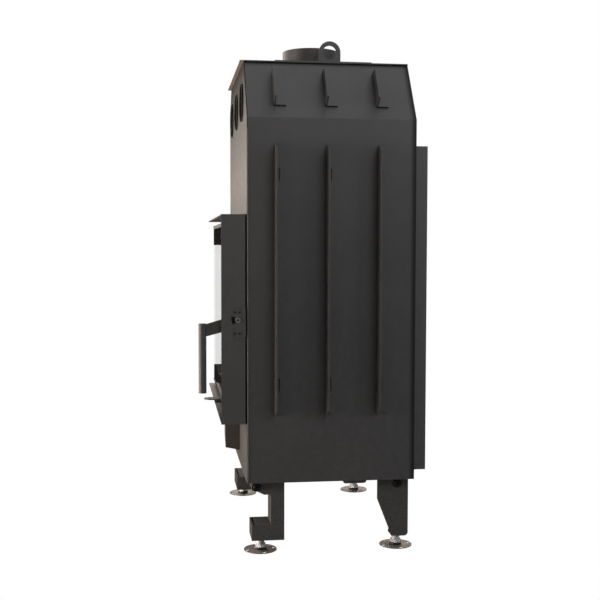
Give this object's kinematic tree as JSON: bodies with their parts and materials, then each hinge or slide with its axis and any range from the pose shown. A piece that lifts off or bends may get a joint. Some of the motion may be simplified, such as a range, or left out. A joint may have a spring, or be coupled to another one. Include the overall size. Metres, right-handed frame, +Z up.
{
  "type": "corner fireplace insert",
  "caption": "Steel corner fireplace insert on adjustable legs, with an L-shaped glazed door that swings on pins, a lift handle with a roller latch, a flue collar and warm-air outlets.",
  "frame": {"origin": "middle of the footprint's bounding box, at the floor under the feet", "axes": "+X to the object's right, towards the ribbed side wall; +Y to the back, away from the front pane; +Z up"},
  "size_m": [0.809, 0.6, 1.368],
  "materials": {
    "charcoal_paint": "matt",
    "handle_paint": "satin",
    "bare_dark_steel": "matt, sooted",
    "fireclay": "matt",
    "grate_iron": "as cast",
    "ceramic_glass": "clear",
    "rope": "braided",
    "zinc_steel": "zinc plated",
    "foot_steel": "dull zinc",
    "plain_steel": "turned",
    "black_fasteners": "blackened"
  },
  "bodies": {
    "chassis": {"right_wall": "charcoal_paint", "left_wall_upper": "charcoal_paint", "left_wall_lower": "charcoal_paint", "rear_wall": "charcoal_paint", "front_panel": "charcoal_paint", "base_plate": "charcoal_paint", "top_plate": "charcoal_paint", "flue_base": "charcoal_paint", "flue_collar": "charcoal_paint", "lifting_eyes": "charcoal_paint", "wall_ribs": "charcoal_paint", "hood_ribs": "charcoal_paint", "rear_shield": "charcoal_paint", "firebox_side_wall": "bare_dark_steel", "firebox_rear_wall": "bare_dark_steel", "firebox_floor": "bare_dark_steel", "firebox_roof": "bare_dark_steel", "lining_right": "fireclay", "lining_rear": "fireclay", "hearth_slab": "fireclay", "grate": "grate_iron", "log_guard": "bare_dark_steel", "baffle_lower": "fireclay", "baffle_upper": "bare_dark_steel", "surround_top": "charcoal_paint", "surround_bottom": "charcoal_paint", "surround_right": "charcoal_paint", "surround_rear": "charcoal_paint", "throat_frame": "charcoal_paint", "latch_plate": "charcoal_paint", "latch_axle": "plain_steel", "latch_screws": "black_fasteners", "hinge_pins": "plain_steel", "air_box": "charcoal_paint", "front_leg_right": "charcoal_paint", "front_leg_left": "charcoal_paint", "rear_leg_right": "charcoal_paint", "rear_leg_left": "charcoal_paint", "leg_bolts": "black_fasteners"},
    "door": {"door_top_rail": "charcoal_paint", "door_bottom_rail": "charcoal_paint", "door_right_stile": "charcoal_paint", "door_rear_stile": "charcoal_paint", "front_glass": "ceramic_glass", "side_glass": "ceramic_glass", "door_seal": "rope", "glass_clips": "plain_steel", "handle_pivot": "plain_steel"},
    "handle": {"handle_lever": "handle_paint", "handle_grip": "handle_paint"},
    "roller": {"latch_roller": "plain_steel"},
    "air_control": {"air_slider": "handle_paint"},
    "foot_front_right": {"foot_stud_front_right": "zinc_steel", "foot_disc_front_right": "foot_steel"},
    "foot_front_left": {"foot_stud_front_left": "zinc_steel", "foot_disc_front_left": "foot_steel"},
    "foot_rear_right": {"foot_stud_rear_right": "zinc_steel", "foot_disc_rear_right": "foot_steel"},
    "foot_rear_left": {"foot_stud_rear_left": "zinc_steel", "foot_disc_rear_left": "foot_steel"}
  },
  "joints": [
    {"name": "door_swing", "type": "hinge", "parent": "chassis", "child": "door", "pos_m": [-0.3775, 0.158, 0.616], "axis": [0, 0, -1], "range_deg": [0, 95]},
    {"name": "handle_lift", "type": "hinge", "parent": "door", "child": "handle", "pos_m": [0.3445, -0.222, 0.606], "axis": [-1, 0, 0], "range_deg": [-10, 30]},
    {"name": "latch_roller_spin", "type": "hinge", "parent": "chassis", "child": "roller", "pos_m": [0.3445, -0.201, 0.6156], "axis": [1, 0, 0], "continuous": true},
    {"name": "air_slide", "type": "slide", "parent": "chassis", "child": "air_control", "axis": [1, 0, 0], "range_m": [-0.04, 0.04]},
    {"name": "foot_front_right_extend", "type": "slide", "parent": "chassis", "child": "foot_front_right", "axis": [0, 0, -1], "range_m": [-0.012, 0.015]},
    {"name": "foot_front_left_extend", "type": "slide", "parent": "chassis", "child": "foot_front_left", "axis": [0, 0, -1], "range_m": [-0.012, 0.015]},
    {"name": "foot_rear_right_extend", "type": "slide", "parent": "chassis", "child": "foot_rear_right", "axis": [0, 0, -1], "range_m": [-0.012, 0.015]},
    {"name": "foot_rear_left_extend", "type": "slide", "parent": "chassis", "child": "foot_rear_left", "axis": [0, 0, -1], "range_m": [-0.012, 0.015]}
  ]
}
